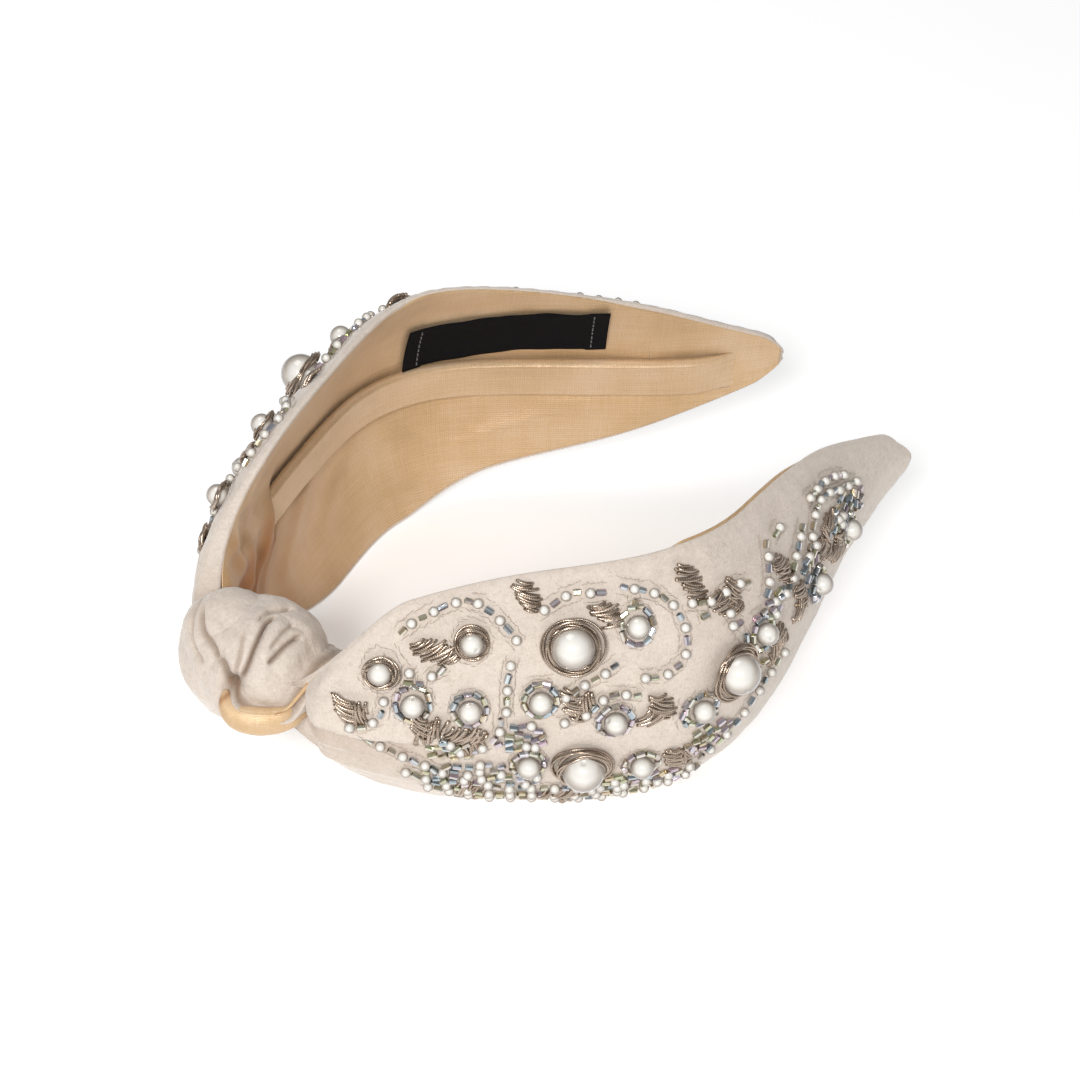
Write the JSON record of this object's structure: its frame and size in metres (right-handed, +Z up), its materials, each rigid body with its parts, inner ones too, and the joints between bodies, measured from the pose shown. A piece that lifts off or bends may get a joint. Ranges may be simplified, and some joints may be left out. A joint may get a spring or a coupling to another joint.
{
  "type": "knotted headband",
  "caption": "Wide padded velvet headband with a central knot, a lined inner face over a springy band, and beaded embroidery on both arms.",
  "frame": {"origin": "under the middle of the headband's bounding box, on the surface that its lower edge lies on", "axes": "+X from the knot to the arm tips, +Y towards the arm that carries the label, +Z up across the width of the arms"},
  "size_m": [0.1565, 0.131, 0.0609],
  "materials": {
    "velvet": "matte",
    "foam": "matte",
    "lining": "satin",
    "tape": "satin",
    "band": "satin",
    "pearl": "gloss",
    "cut_glass": "gloss",
    "bullion": "satin",
    "thread": "matte",
    "label": "satin",
    "thread_dark": "matte"
  },
  "bodies": {
    "crown": {"spring_band": "band", "knot_core": "foam", "knot_wrap": "velvet", "knot_loop": "velvet", "knot_lining": "lining"},
    "left_arm": {"left_velvet": "velvet", "left_padding": "foam", "left_lining": "lining", "left_tape": "tape", "left_large_pearls": "pearl", "left_medium_pearls": "pearl", "left_small_pearls": "pearl", "left_cut_beads": "cut_glass", "left_bullion_rings": "bullion", "left_bullion_leaves": "bullion", "left_outline_thread": "thread", "label": "label", "label_stitches": "thread_dark"},
    "right_arm": {"right_velvet": "velvet", "right_padding": "foam", "right_lining": "lining", "right_tape": "tape", "right_large_pearls": "pearl", "right_medium_pearls": "pearl", "right_small_pearls": "pearl", "right_cut_beads": "cut_glass", "right_bullion_rings": "bullion", "right_bullion_leaves": "bullion", "right_outline_thread": "thread"}
  },
  "joints": [
    {"name": "left_flex", "type": "hinge", "parent": "crown", "child": "left_arm", "pos_m": [-0.062, 0.01704, 0.0297], "axis": [0, 0, 1], "range_deg": [-4, 12], "stiffness_Nm_per_rad": 0.9, "deforming": ["spring_band"]},
    {"name": "right_flex", "type": "hinge", "parent": "crown", "child": "right_arm", "pos_m": [-0.062, -0.01704, 0.0297], "axis": [0, 0, -1], "range_deg": [-4, 12], "stiffness_Nm_per_rad": 0.9, "deforming": ["spring_band"]}
  ]
}
